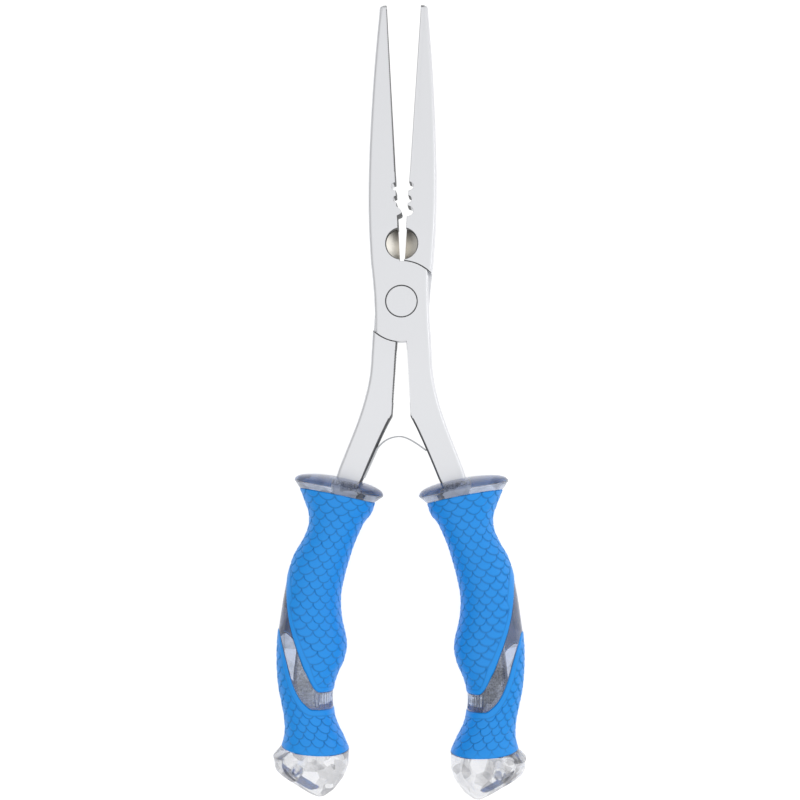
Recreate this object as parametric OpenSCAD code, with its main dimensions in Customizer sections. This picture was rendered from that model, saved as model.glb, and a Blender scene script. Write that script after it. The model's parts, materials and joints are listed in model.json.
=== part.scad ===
// Long-reach fishing pliers lying flat: two crossed levers on one flush pivot pin, a pair of wire
// cutters, a leaf spring, and two clear moulded handles with soft scaled grips.
// Every outline is drawn with the jaws closed and the pivot at [0, 0]: +Y runs to the jaw tips,
// +X to the right handle, and z = 0 is the middle of the thickness. Each half is then opened,
// and the part stands with its origin under the middle of its length.

/* [Jaws] */
// Half of the angle between the jaws when the spring holds them open, in degrees
half_open = 3.3; // [2.6:0.1:3.6]
// Distance from the pivot to the jaw tips
jaw_len = 98; // [92:0.5:104]
// Width of a jaw at its root
jaw_root_w = 9.45; // [9.2:0.05:10]
// Width of a jaw just behind its tip
jaw_tip_w = 2.75; // [2.2:0.05:3.5]
// Thickness of both levers at the joint
joint_t = 10; // [9:0.5:12]
// Thickness of a jaw at its tip
tip_t = 3.6; // [2.6:0.2:6]

/* [Joint] */
// Radius of the round shoulders that the levers turn against
shoulder_r = 13.1; // [12.8:0.1:13.2]
// Radius of the pivot pin
pin_r = 4.6; // [4:0.1:4.8]
// Radius of the riveted ends of the pin, flush with the levers
rivet_r = 5.25; // [5:0.05:5.6]
// Gap left between moving faces
running_gap = 0.05; // [0.03:0.01:0.08]

/* [Cutters] */
// Radius of the round cutter insert
cutter_r = 5.1; // [4.6:0.1:5.1]
// Distance from the pivot to the middle of the cutters
cutter_y = 18.8; // [18.8:0.1:19.6]
// Distance of the middle of a cutter past the face of its jaw
cutter_x = 1; // [0.8:0.1:1.1]
// Half thickness of a cutter at its edge
cutter_edge_t = 0.5; // [0.3:0.1:1]

/* [Arms and tangs] */
// Half of the gap between the arms when the jaws are closed
arm_gap = 0.95; // [0.7:0.05:1.1]
// Width of an arm beside the joint
arm_w = 8.75; // [8.6:0.05:9]
// Thickness of the tang inside a handle
tang_t = 6; // [5:0.5:7]
// Half width of the tang inside a handle
tang_half_w = 3.6; // [3.2:0.1:4]

/* [Leaf spring] */
// Thickness of the spring strip
spring_t = 0.4; // [0.3:0.05:0.5]
// Width of the spring strip
spring_w = 5; // [4:0.5:6]

/* [Handles] */
// Wall of the soft grip over the clear core
grip_t = 0.8; // [0.6:0.1:1]
// Half width of the flange at the top of a handle
flange_half_w = 14.8; // [14.4:0.1:15]
// Half depth of the flange
flange_half_d = 12.5; // [11.8:0.1:13]
// Height of the dome on the flange
dome_h = 3; // [2.6:0.1:3.4]
// Half thickness of the pommel between its flat faces
pommel_half_t = 9.4; // [9.2:0.1:9.6]
// Radius of the lanyard hole
lanyard_r = 2; // [1.5:0.05:2.1]

/* [Hidden] */
$fn = 96;

steel = [0.80, 0.81, 0.82];
carbide = [0.72, 0.69, 0.63];
clear_plastic = [0.86, 0.86, 0.92, 0.45];
blue_rubber = [0.10, 0.52, 0.86];

// The pivot lies this far ahead of the middle of the length
pivot_y = 31.6;
pivot_z = flange_half_d;

// ---------------------------------------------------------------- curves

// Curve from a to c that leans towards b, as n + 1 points
function bend(a, b, c, n) =
    [for (i = [0:n]) let (t = i / n) (1 - t) * (1 - t) * a + 2 * t * (1 - t) * b + t * t * c];
function arc(centre, r, from, to, n) =
    [for (i = [0:n]) let (t = from + (to - from) * i / n) centre + r * [cos(t), sin(t)]];
// The same list without its last point, to join it to the next one
function open_end(list) = [for (i = [0:len(list) - 2]) list[i]];
function reversed(list) = [for (i = [len(list) - 1:-1:0]) list[i]];

// A line moved sideways by d, to the right of its direction when d is negative
function normal_at(line, i) =
    let (
        along = line[min(i + 1, len(line) - 1)] - line[max(i - 1, 0)],
        d = along / norm(along)
    ) [-d[1], d[0]];
function beside(line, d) = [for (i = [0:len(line) - 1]) line[i] + d * normal_at(line, i)];

// ---------------------------------------------------------------- levers

// Half of the gap between the closed jaws
jaw_gap = 0.02;
tip_y = jaw_len - 0.1;
tip_corner_r = 1.2;
cheek_w = 9.2;
cheek_y = sqrt(shoulder_r * shoulder_r - cheek_w * cheek_w);
cheek_angle = atan2(cheek_y, cheek_w);
waist_w = 8.5;
arm_corner = [arm_gap, -37.6];
arm_angle = acos(arm_gap / shoulder_r);
// Where the arms enter the handles
collar_y = -57;
collar_half_w = tang_half_w + 0.7;

// Outer edge of the left jaw and cheek, from the tip down to the lower shoulder
jaw_edge = concat(
    arc([-tip_corner_r - 0.1, tip_y - tip_corner_r], tip_corner_r, 90, 160, 4),
    open_end(bend([-jaw_tip_w, jaw_len - 3.5], [-4.94, 80], [-6.47, 66], 4)),
    bend([-6.47, 66], [-jaw_root_w, 39], [-jaw_root_w, 22], 6),
    bend([-jaw_root_w + 0.05, 13], [-waist_w, 1], [-cheek_w, -cheek_y], 5)
);

// Centre line of the tang, from the arm down through the handle
tang_line = [
    [13.05, collar_y], [16, -66], [17.6, -75], [20.6, -84], [22.6, -93],
    [23.3, -103], [22.8, -114], [23.2, -124], [22.5, -134]
];
tang_outline = concat(
    [tang_line[0] + collar_half_w * normal_at(tang_line, 0)],
    [for (i = [1:len(tang_line) - 1]) tang_line[i] + tang_half_w * normal_at(tang_line, i)],
    [for (i = [len(tang_line) - 1:-1:1]) tang_line[i] - tang_half_w * normal_at(tang_line, i)],
    [tang_line[0] - collar_half_w * normal_at(tang_line, 0)]
);
arm_inner_edge = bend(arm_corner, [4, -44], tang_outline[len(tang_outline) - 1], 8);

// Jaw on the left, cheek in the middle, arm and tang on the right
function lever_outline(jaw_face) = concat(
    jaw_face,
    arc([0, 0], shoulder_r, 90, cheek_angle, 8),
    bend([cheek_w - 0.02, cheek_y - 1], [waist_w, 0], [arm_w, -10], 4),
    open_end(bend([arm_w, -21], [arm_w, -31], [14.1, -46.4], 7)),
    tang_outline,
    open_end(reversed(arm_inner_edge)),
    [arm_corner],
    arc([0, 0], shoulder_r, -arm_angle, cheek_angle - 180, 8),
    open_end(reversed(jaw_edge))
);

// Thickness of a lever along its length, seen from the side
module lever_profile() {
    half = [
        [jaw_len + 2, tip_t / 2], [24, joint_t / 2], [-17, joint_t / 2],
        [-40, tang_t / 2 + 0.5], [collar_y, tang_t / 2], [-150, tang_t / 2]
    ];
    rotate([90, 0, 90])
        linear_extrude(height = 80, center = true)
            polygon(concat(half, [for (p = reversed(half)) [p[0], -p[1]]]));
}

// Hole for the pin, opened out at the outer face for the riveted end
module pin_hole() {
    countersink = rivet_r - pin_r;
    cylinder(h = 2 * joint_t, r = pin_r, center = true);
    translate([0, 0, joint_t / 2 - countersink])
        cylinder(h = 2 * countersink, r1 = pin_r, r2 = rivet_r + countersink);
}

// One closed lever, without the half of its joint that the other lever fills
module lever(jaw_face) {
    difference() {
        intersection() {
            linear_extrude(height = joint_t, center = true) polygon(lever_outline(jaw_face));
            lever_profile();
        }
        translate([0, 0, -joint_t])
            cylinder(h = joint_t + running_gap / 2, r = shoulder_r + 2 * running_gap);
        pin_hole();
        translate([cutter_x, cutter_y, 0]) cylinder(h = 2 * joint_t, r = cutter_r, center = true);
    }
}

// A rounded notch in a jaw's inner face, 2w long and d deep
function notch(y, w, d) =
    [for (t = [90:-22.5:-90]) [-jaw_gap - d * cos(t), y + w * sin(t)]];

// Left jaw: two half-round notches and a hooked crimping tooth
left_face = concat(
    [[-jaw_gap, tip_y]], notch(37.6, 1.3, 1.35), notch(33.4, 1.05, 1.05),
    [[-jaw_gap, 31.1], [0.95, 30.1], [1.45, 29.3], [1.25, 28.6], [-jaw_gap, 28]]
);
// Right jaw, drawn on the left: three scallops, the last one clear of the tooth
right_face = concat(
    [[-jaw_gap, tip_y]], notch(37.7, 1.4, 1.5), notch(33.4, 1.2, 1.2), notch(29.5, 1.75, 1.95)
);

// The right half is drawn like the left one and turned over about its length
module turned_over() {
    rotate([0, 180, 0]) children();
}
module at_pivot() {
    translate([0, pivot_y, pivot_z]) children();
}
module opened_left() {
    at_pivot() rotate(half_open) children();
}
module opened_right() {
    at_pivot() rotate(-half_open) children();
}

module front_lever() {
    color(steel) opened_left() lever(left_face);
}
module back_lever() {
    color(steel) opened_right() turned_over() lever(right_face);
}

// ---------------------------------------------------------------- pin and cutters

// Pin held in the front lever, with running clearance in the back one
module pivot_pin() {
    countersink = rivet_r - pin_r;
    back_r = pin_r - running_gap;
    color(steel) opened_left() {
        translate([0, 0, running_gap / 2]) cylinder(h = joint_t / 2 - running_gap / 2, r = pin_r);
        translate([0, 0, joint_t / 2 - countersink])
            cylinder(h = countersink, r1 = pin_r, r2 = rivet_r);
        translate([0, 0, -joint_t / 2]) cylinder(h = joint_t / 2 + 1, r = back_r);
        translate([0, 0, -joint_t / 2])
            cylinder(h = countersink, r1 = rivet_r - running_gap, r2 = back_r);
    }
}

// Half-round insert, with two faces that slope down to the cutting edge
module cutter() {
    rim_t = joint_t / 2 - 0.6;
    inner_x = -jaw_gap - cutter_x;
    half = [[-2 * cutter_r, rim_t], [-cutter_r, rim_t], [inner_x, cutter_edge_t]];
    translate([cutter_x, cutter_y, 0])
        intersection() {
            cylinder(h = joint_t, r = cutter_r, center = true);
            rotate([90, 0, 0])
                linear_extrude(height = 3 * cutter_r, center = true)
                    polygon(concat(half, [for (p = reversed(half)) [p[0], -p[1]]]));
        }
}
module left_cutter() {
    color(carbide) opened_left() cutter();
}
module right_cutter() {
    color(carbide) opened_right() turned_over() cutter();
}

// ---------------------------------------------------------------- leaf spring

// Drawn open: the strip leaves the left arm, arches over and rests on the right arm
spring_root = [-7.7, -48.1];
spring_top = [-0.4, -44.2];
spring_tip = [8.15, -48.75];
arch_line = concat(
    open_end(bend(spring_root + [0.15, 0.18], [-4.9, -44.2], spring_top, 5)),
    bend(spring_top, [2.3, -44.2], spring_tip, 7)
);
// The foot lies on the inner edge of the left arm, here in that arm's closed place
foot_line = [for (p = arm_inner_edge) if (p[1] < -48.6) p];

module strip(line, from_d, to_d) {
    linear_extrude(height = spring_w, center = true)
        polygon(concat(beside(line, from_d), reversed(beside(line, to_d))));
}
module leaf_spring_foot() {
    color(steel) opened_right() turned_over() strip(foot_line, 0, -spring_t);
}
module leaf_spring_arch() {
    color(steel) at_pivot() strip(arch_line, spring_t / 2, -spring_t / 2);
}

// ---------------------------------------------------------------- handles

sides = 36;
turn = 360 / sides;
upper_steps = 13;
window_steps = 5;
lower_steps = 8;
// The clear window lies this far below the outside of the grips
window_inset = 0.2;
// Depth of the inside of a grip, which leaves a thin bond line over the core
grip_seat = grip_t - 0.05;
grip_roundness = 2.3;
pommel_roundness = 3.2;

// Outside of the grips at stations down the right handle:
// [centre x, y, half width, half depth, tilt in degrees]
stations = [
    [17.2, -62, 13.4, 11.4, 7.5], [17.2, -64.3, 12.7, 11, 7.5], [16.7, -68.5, 11.1, 9.8, 6.5],
    [17, -72, 9.25, 8.9, 5], [17.8, -76, 8.45, 8.7, 4], [19.2, -80, 8.5, 8.9, 3],
    [21.1, -85, 9.15, 9.2, 2], [22.3, -90, 9.3, 9.4, 1], [23.3, -97, 9.4, 9.5, 0],
    [23.3, -104, 10.1, 9.7, 0], [22.5, -112.5, 11.5, 9.8, 0], [22.7, -118, 11.15, 9.6, 0],
    [23.4, -123, 10, 9.2, 0], [23.5, -128, 9.1, 8.8, 0], [22.7, -133, 8.6, 8.6, 0],
    [21.4, -138, 8.65, 8.7, 0], [19.8, -143, 9.8, 9.3, 0], [19.2, -147.3, 11.2, 10, 0],
    [19.8, -151, 12.2, 10.4, 0]
];
// The same for the pommel below the lower grip
pommel_stations = [
    [20.2, -150.8, 12.2, 10.6, 5], [20.8, -152.6, 12, 10.6, 13], [22, -155.4, 10.9, 10.2, 22],
    [23.2, -157.2, 9.8, 9.2, 27]
];
pommel_end = [23.6, -158, 9, 8, 27.5];
rim = [16.8, -61.3, flange_half_w, flange_half_d, 7.3];
lanyard_hole = [23.6, -153];

// Smooth value of column k at distance y down the handle
function span_at(y, i) =
    i == len(stations) - 2 || y >= stations[i + 1][1] ? i : span_at(y, i + 1);
function slope(i, k) =
    let (a = stations[max(i - 1, 0)], b = stations[min(i + 1, len(stations) - 1)])
    (b[k] - a[k]) / (b[1] - a[1]);
function column(y, k) =
    let (
        i = span_at(y, 0),
        h = stations[i + 1][1] - stations[i][1],
        t = (y - stations[i][1]) / h,
        s = 1 - t
    )
    s * s * ((1 + 2 * t) * stations[i][k] + t * h * slope(i, k))
    + t * t * ((3 - 2 * t) * stations[i + 1][k] - s * h * slope(i + 1, k));
function station(y) = [column(y, 0), y, column(y, 2), column(y, 3), column(y, 4)];

// Signed power, for a section between a circle and a rounded box
function eased(v, n) = sign(v) * pow(abs(v), 2 / n);
// Point at angle a of a section: 0 is the outer side of the handle and 90 is the front
function section_point(s, a, inset, n, flat = 100) =
    let (across = (s[2] - inset) * eased(cos(a), n), deep = (s[3] - inset) * eased(sin(a), n))
    [s[0] + across * cos(s[4]), s[1] + across * sin(s[4]), max(-flat, min(flat, deep))];
function section(s, inset, n, flat = 100) =
    [for (j = [0:sides - 1]) section_point(s, turn * j, inset, n, flat)];

// The edges of the two grips down the handle, at angle a round it: the top of the upper grip,
// the top and bottom of the clear window between them, and the bottom of the lower grip
function from_outside(a) = abs(a > 180 ? a - 360 : a);
function window_top(a) = -91.5 - 36.5 * pow(sin(90 * min(1, from_outside(a) / 125)), 2);
function window_bottom(a) =
    let (t = max(0, min(1, (from_outside(a) - 15) / 90))) -109 - 24.5 * t * t * (3 - 2 * t);
function edge(k, a) =
    k == 0 ? -64.3 + 0.8 * pow(sin(a), 2)
    : k == 1 ? window_top(a)
    : k == 2 ? window_bottom(a)
    : -147 - 0.9 * pow(sin(a), 2);

// Rows of the handle's surface from edge k to the next one, sunk by inset
function row_between(k, v, inset, flat) = [for (j = [0:sides - 1])
    let (a = turn * j, y = edge(k, a) + (edge(k + 1, a) - edge(k, a)) * v)
    section_point(station(y), a, inset, grip_roundness, flat)];
function rows_between(k, steps, inset, flat = 100) =
    [for (i = [0:steps]) row_between(k, i / steps, inset, flat)];

// Closed skin over rows of points, each row with the same number of sides
module skin(rows) {
    last = len(rows) - 1;
    polyhedron(
        points = [for (row = rows) for (p = row) p],
        faces = concat(
            [[for (j = [0:sides - 1]) j]],
            [for (i = [0:last - 1]) for (j = [0:sides - 1]) let (k = (j + 1) % sides)
                [i * sides + j, (i + 1) * sides + j, (i + 1) * sides + k]],
            [for (i = [0:last - 1]) for (j = [0:sides - 1]) let (k = (j + 1) % sides)
                [i * sides + j, (i + 1) * sides + k, i * sides + k]],
            [[for (j = [sides - 1:-1:0]) last * sides + j]]
        )
    );
}

// Dome, rim, neck, window and pommel in one clear moulding
core_rows = concat(
    [for (t = [75, 52, 28]) section([
        rim[0] - dome_h * sin(t) * sin(rim[4]), rim[1] + dome_h * sin(t) * cos(rim[4]),
        flange_half_w * cos(t), flange_half_d * cos(t), rim[4]
    ], 0, 2)],
    [section(rim, 0, 2)],
    [section([rim[0] + 0.15, rim[1] - 1.3, rim[2] - 0.5, rim[3] - 0.4, rim[4]], 0, 2.1)],
    [row_between(0, 0, 0, 100)],
    rows_between(0, upper_steps, grip_t),
    rows_between(1, window_steps, window_inset),
    rows_between(2, lower_steps, grip_t),
    [row_between(2, 1, 0, pommel_half_t)],
    [for (s = pommel_stations) section(s, 0, pommel_roundness, pommel_half_t)],
    [section(pommel_end, 0, pommel_roundness)]
);
module handle_core() {
    difference() {
        skin(core_rows);
        linear_extrude(height = tang_t, center = true) polygon(tang_outline);
        translate(lanyard_hole) cylinder(h = 4 * pommel_half_t, r = lanyard_r, center = true);
    }
}

// Soft sleeve from edge k to the next one, open at both ends
module grip(k, steps) {
    rows = concat(rows_between(k, steps, 0), reversed(rows_between(k, steps, grip_seat)));
    count = len(rows);
    polyhedron(
        points = [for (r = rows) for (p = r) p],
        faces = concat(
            [for (i = [0:count - 1]) for (j = [0:sides - 1])
                let (k = (j + 1) % sides, n = (i + 1) % count)
                [i * sides + j, n * sides + j, n * sides + k]],
            [for (i = [0:count - 1]) for (j = [0:sides - 1])
                let (k = (j + 1) % sides, n = (i + 1) % count)
                [i * sides + j, n * sides + k, i * sides + k]]
        )
    );
}

module right_handle_core() {
    color(clear_plastic) opened_left() handle_core();
}
module left_handle_core() {
    color(clear_plastic) opened_right() turned_over() handle_core();
}
module right_upper_grip() {
    color(blue_rubber) opened_left() grip(0, upper_steps);
}
module left_upper_grip() {
    color(blue_rubber) opened_right() turned_over() grip(0, upper_steps);
}
module right_lower_grip() {
    color(blue_rubber) opened_left() grip(2, lower_steps);
}
module left_lower_grip() {
    color(blue_rubber) opened_right() turned_over() grip(2, lower_steps);
}

front_lever();
back_lever();
pivot_pin();
left_cutter();
right_cutter();
leaf_spring_foot();
leaf_spring_arch();
left_handle_core();
right_handle_core();
left_upper_grip();
right_upper_grip();
left_lower_grip();
right_lower_grip();
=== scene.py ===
"""Looks of a pair of long-reach fishing pliers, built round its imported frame.

Everything is drawn in millimetres with the jaws closed and the pivot at the origin, as the frame's
levers are: +Y runs to the tips, +X to the handle, z = 0 is the middle of the thickness. Each half is
drawn once and placed twice, the back one turned over about its length.
"""

import json
import math

import bmesh
import bpy
import numpy as np
from bpy.props import FloatProperty, FloatVectorProperty, IntProperty, PointerProperty
from mathutils import Matrix, Vector


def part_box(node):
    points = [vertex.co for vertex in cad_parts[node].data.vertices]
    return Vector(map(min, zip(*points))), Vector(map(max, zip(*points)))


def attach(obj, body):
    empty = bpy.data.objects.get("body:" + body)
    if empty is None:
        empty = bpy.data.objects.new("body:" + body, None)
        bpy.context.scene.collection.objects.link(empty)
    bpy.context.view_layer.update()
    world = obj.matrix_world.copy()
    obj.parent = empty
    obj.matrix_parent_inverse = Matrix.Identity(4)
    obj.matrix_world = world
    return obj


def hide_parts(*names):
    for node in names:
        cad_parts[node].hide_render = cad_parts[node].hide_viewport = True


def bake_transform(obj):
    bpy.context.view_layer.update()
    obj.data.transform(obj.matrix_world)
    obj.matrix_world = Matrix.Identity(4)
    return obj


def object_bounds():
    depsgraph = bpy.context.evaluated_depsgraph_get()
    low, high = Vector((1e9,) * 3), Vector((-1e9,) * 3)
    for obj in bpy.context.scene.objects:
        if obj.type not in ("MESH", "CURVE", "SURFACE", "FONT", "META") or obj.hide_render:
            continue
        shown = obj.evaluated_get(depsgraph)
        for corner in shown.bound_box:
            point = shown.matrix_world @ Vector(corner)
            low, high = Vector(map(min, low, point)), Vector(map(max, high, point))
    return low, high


bl_info = {
    "name": "Fishing pliers",
    "version": (1, 0, 0),
    "blender": (4, 5, 0),
    "location": "View3D > Sidebar > Pliers",
    "description": "Builds the steel, the clear handles and the scaled grips of fishing pliers",
    "category": "Object",
}

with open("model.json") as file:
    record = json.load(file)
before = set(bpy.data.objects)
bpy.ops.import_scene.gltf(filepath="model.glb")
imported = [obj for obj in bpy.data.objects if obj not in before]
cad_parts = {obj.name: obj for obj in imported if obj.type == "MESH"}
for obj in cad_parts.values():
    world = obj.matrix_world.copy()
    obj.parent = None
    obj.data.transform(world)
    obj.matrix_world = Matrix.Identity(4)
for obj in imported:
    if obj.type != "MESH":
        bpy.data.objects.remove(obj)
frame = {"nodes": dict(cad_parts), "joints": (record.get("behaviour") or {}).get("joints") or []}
CAD_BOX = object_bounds()
MM = 0.001

JOINTS = {joint["name"]: joint for joint in frame["joints"]}
PIVOT = Vector(JOINTS["pivot"]["pos_m"])
HALF_OPEN = math.radians(JOINTS["pivot"]["range_deg"][1] / 2)
TO_METRES = Matrix.Scale(MM, 4)
FRONT = Matrix.Translation(PIVOT) @ Matrix.Rotation(HALF_OPEN, 4, "Z") @ TO_METRES
TURNED_OVER = Matrix.Rotation(math.pi, 4, "Y")
BACK = Matrix.Translation(PIVOT) @ Matrix.Rotation(-HALF_OPEN, 4, "Z") @ TURNED_OVER @ TO_METRES
# Body, place of the drawing, and the side that its handle is on
HALVES = {"front_half": (FRONT, "right"), "back_half": (BACK, "left")}


# ---------------------------------------------------------------- settings


class SteelSettings(bpy.types.PropertyGroup):
    """Sizes and colours of the metal."""

    edge_round: FloatProperty(
        name="Outer edge", description="Radius of the soft outer edges, in millimetres", default=1.15
    )
    tooth_pitch: FloatProperty(
        name="Tooth pitch", description="Pitch of the jaw serrations, in millimetres", default=0.66
    )
    rear_pitch: FloatProperty(
        name="Rear pitch", description="Pitch of the serrations between the arms, in millimetres",
        default=0.52,
    )
    steel: FloatVectorProperty(
        name="Steel", description="Colour that the cut faces and tangs are shaded from",
        subtype="COLOR",
        default=(0.66, 0.665, 0.68),
    )
    carbide: FloatVectorProperty(
        name="Cutters", description="Colour of the cutter inserts", subtype="COLOR",
        default=(0.80, 0.77, 0.71),
    )
    spring: FloatVectorProperty(
        name="Spring", description="Colour of the spring strip", subtype="COLOR",
        default=(0.40, 0.41, 0.43),
    )


class HandleSettings(bpy.types.PropertyGroup):
    """Sizes and colours of the handles."""

    scale_columns: IntProperty(
        name="Scales round", description="Scales in one row round the handle", default=14
    )
    scale_row: FloatProperty(
        name="Scale row", description="Distance between rows of scales, in millimetres", default=2.2
    )
    scale_depth: FloatProperty(
        name="Scale relief", description="Height of a scale's free edge, in millimetres", default=0.26
    )
    line_half_w: FloatProperty(
        name="Line", description="Half width of the line round a scale, in millimetres", default=0.17
    )
    line_depth: FloatProperty(
        name="Line depth", description="Depth of that line, in millimetres", default=0.14
    )
    band: FloatProperty(
        name="Border", description="Smooth border along the window, in millimetres", default=1.7
    )
    rubber: FloatVectorProperty(
        name="Rubber", description="Colour of the soft grips", subtype="COLOR",
        default=(0.0, 0.315, 0.93),
    )
    clear: FloatVectorProperty(
        name="Clear plastic", description="Tint of the clear handle cores", subtype="COLOR",
        default=(0.90, 0.90, 0.94),
    )
    # Painted shade: the clear cores are drawn in this darker tint over the soft grips
    deep: FloatVectorProperty(
        name="Deep plastic", description="Tint of the clear cores over the soft grips", subtype="COLOR",
        default=(0.44, 0.48, 0.56),
    )


class StageSettings(bpy.types.PropertyGroup):
    """Floor, lights and camera."""

    floor: FloatVectorProperty(
        name="Floor", description="Colour of the floor", subtype="COLOR", default=(0.3, 0.3, 0.3)
    )
    sky: FloatProperty(name="Sky", description="Strength of the light overhead", default=1.04)
    key: FloatProperty(name="Key", description="Power of the large light", subtype="POWER", default=0.4)
    distance: FloatProperty(
        name="Distance", description="From the camera to its target", subtype="DISTANCE", default=0.488
    )
    lens: FloatProperty(name="Lens", description="Focal length, in millimetres", default=67.0)
    yaw: FloatProperty(
        name="Yaw", description="Turn of the camera to the right", subtype="ANGLE",
        default=math.radians(3.2),
    )
    pitch: FloatProperty(
        name="Pitch", description="Turn of the camera towards the tips", subtype="ANGLE",
        default=math.radians(-1.25),
    )
    roll: FloatProperty(
        name="Roll", description="Roll of the camera", subtype="ANGLE", default=math.radians(0.33)
    )


# ---------------------------------------------------------------- materials


class Number:
    """A number inside a material: each operation on it adds its Math node."""

    def __init__(self, finish, socket):
        self.finish = finish
        self.socket = socket

    def _math(self, operation, *values):
        return self.finish.number("ShaderNodeMath", {"operation": operation}, dict(enumerate(values)))

    def __add__(self, other):
        return self._math("ADD", self, other)

    def __rsub__(self, other):
        return self._math("SUBTRACT", other, self)

    def __mul__(self, other):
        return self._math("MULTIPLY", self, other)

    __radd__ = __add__
    __rmul__ = __mul__


class Finish:
    """A material whose nodes are added one by one."""

    def __init__(self, name, **constants):
        self.material = bpy.data.materials.new(name)
        self.material.use_nodes = True
        self.tree = self.material.node_tree
        self.shader = self.tree.nodes["Principled BSDF"]
        for socket, value in constants.items():
            self.shader.inputs[socket.replace("_", " ")].default_value = value
        self.place = self.node("ShaderNodeTexCoord").outputs["Object"]

    def node(self, kind, settings=None, inputs=None):
        """Adds a node: its settings are set first, then its sockets are given values or links."""
        made = self.tree.nodes.new(kind)
        for key, value in (settings or {}).items():
            setattr(made, key, value)
        for key, value in (inputs or {}).items():
            value = getattr(value, "socket", value)
            if isinstance(value, bpy.types.NodeSocket):
                self.tree.links.new(value, made.inputs[key])
            else:
                made.inputs[key].default_value = value
        return made

    def number(self, kind, settings=None, inputs=None, output=0):
        return Number(self, self.node(kind, settings, inputs).outputs[output])

    def grain(self, size, detail=2.0, stretch=None):
        """Noise whose features are about size millimetres across, as a number from 0 to 1."""
        place = self.place
        if stretch:
            place = self.node("ShaderNodeMapping", None, {"Vector": place, "Scale": stretch}).outputs[0]
        return self.number(
            "ShaderNodeTexNoise", None,
            {"Vector": place, "Scale": 1 / (size * MM), "Detail": detail},
        )

    def colour(self, first, second, share):
        """Colour between two, as the share goes from 0 to 1."""
        return self.node(
            "ShaderNodeMix", {"data_type": "RGBA"},
            {"Factor": share, "A": (*first, 1), "B": (*second, 1)},
        ).outputs[2]

    def between(self, share, low, high):
        """The share stretched so that low becomes 0 and high becomes 1."""
        return self.number(
            "ShaderNodeMapRange", {"interpolation_type": "SMOOTHSTEP"},
            {"Value": share, "From Min": low, "From Max": high},
        )

    def feed(self, **sockets):
        """Links what changes over the surface to the shader."""
        for socket, value in sockets.items():
            value = getattr(value, "socket", value)
            self.tree.links.new(value, self.shader.inputs[socket.replace("_", " ")])
        return self

    def bump(self, height, depth, strength=1.0):
        """Bump of the given depth in millimetres."""
        made = self.node(
            "ShaderNodeBump", None,
            {"Height": height, "Distance": depth * MM, "Strength": strength},
        )
        return self.feed(Normal=made.outputs[0])


def scaled(colour, factor):
    return [min(1.0, part * factor) for part in colour]


def blasted_steel(colour):
    """Bead-blasted satin steel: a fine even grain with faint cloudiness. It is not reached while
    the frame has a material of this name: see material()."""
    finish = Finish("blasted_steel", Metallic=1.0)
    grain = finish.grain(0.5, 3.0)
    cloud = finish.grain(9.0, 2.0)
    tone = finish.between(grain * 0.8 + cloud * 0.2, 0.3, 0.7)
    finish.feed(
        Base_Color=finish.colour(scaled(colour, 0.91), scaled(colour, 1.07), tone),
        Roughness=0.46 + 0.16 * grain,
    )
    return finish.bump(grain, 0.03, 0.6).material


def cut_steel_painted_shade(colour):
    """Duller steel where a cutter or a broach has gone in, with its marks. Its colour is painted shade:
    far darker than the steel, for the shade down in notches, serrations, bores and grooves.
    """
    finish = Finish("cut_steel_painted_shade", Metallic=0.85)
    marks = finish.grain(0.12, 2.0)
    finish.feed(
        # Painted shade: the colour is a sixth to a third of the steel's, for the shade in cut hollows
        Base_Color=finish.colour(scaled(colour, 0.16), scaled(colour, 0.34), marks),
        Roughness=0.5 + 0.15 * marks,
    )
    return finish.bump(marks, 0.015, 0.6).material


def ground_carbide(colour):
    """Fine grinding lines across a slightly warm metal."""
    finish = Finish("ground_carbide", Metallic=1.0)
    lines = finish.grain(0.1, 2.0, stretch=(1.0, 0.12, 1.0))
    grain = finish.grain(0.3, 3.0)
    finish.feed(
        Base_Color=finish.colour(scaled(colour, 0.85), scaled(colour, 1.15), 0.5 * (lines + grain)),
        Roughness=0.36 + 0.14 * lines,
    )
    return finish.bump(lines, 0.012, 0.6).material


def rolled_strip(colour):
    """Bright spring strip with fine rolling lines along it."""
    finish = Finish("rolled_strip", Metallic=1.0)
    lines = finish.grain(0.12, 2.0, stretch=(0.1, 0.1, 1.0))
    finish.feed(
        Base_Color=finish.colour(scaled(colour, 0.85), scaled(colour, 1.12), lines),
        Roughness=0.2 + 0.15 * lines,
    )
    return finish.bump(lines, 0.01, 0.5).material


def polished_clear(colour, deep):
    """Polished clear moulding. Over the soft grips it is drawn dark with painted shade, and in the
    pommel it is clear; both carry painted streaks, lighter and darker, where the light is bent inside
    it."""
    finish = Finish("polished_clear", Transmission_Weight=0.8, IOR=1.49)
    wave = finish.grain(7.0, 1.0)
    cells = finish.number(
        "ShaderNodeTexVoronoi", None,
        {"Vector": finish.place, "Scale": 210.0, "Randomness": 1.0}, "Color",
    )
    # Painted light and shade: streaks of the light that is bent inside the clear plastic
    painted_streak = finish.between(0.65 * cells + 0.35 * finish.grain(3.0, 2.0), 0.25, 0.6)
    along = finish.node("ShaderNodeSeparateXYZ", None, {0: finish.place})
    pommel_top = CAD_BOX[0].y + POMMEL_LEN * MM
    clear = finish.between(Number(finish, along.outputs["Y"]), pommel_top + PAINTED_SHADE_FADE * MM, pommel_top)
    # Painted light: streaks of bent light in the clear pommel, and painted shade over the soft grips
    pale = finish.colour(scaled(colour, 0.38), scaled(colour, 1.1), painted_streak)
    painted_shade_tint = finish.colour(scaled(deep, 0.6), scaled(deep, 1.6), painted_streak)
    mixed = finish.node(
        "ShaderNodeMix", {"data_type": "RGBA"}, {"Factor": clear, "A": painted_shade_tint, "B": pale}
    )
    finish.feed(Base_Color=mixed.outputs[2], Roughness=0.02 + 0.03 * wave)
    return finish.bump(wave, 0.35, 0.4).material


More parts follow.
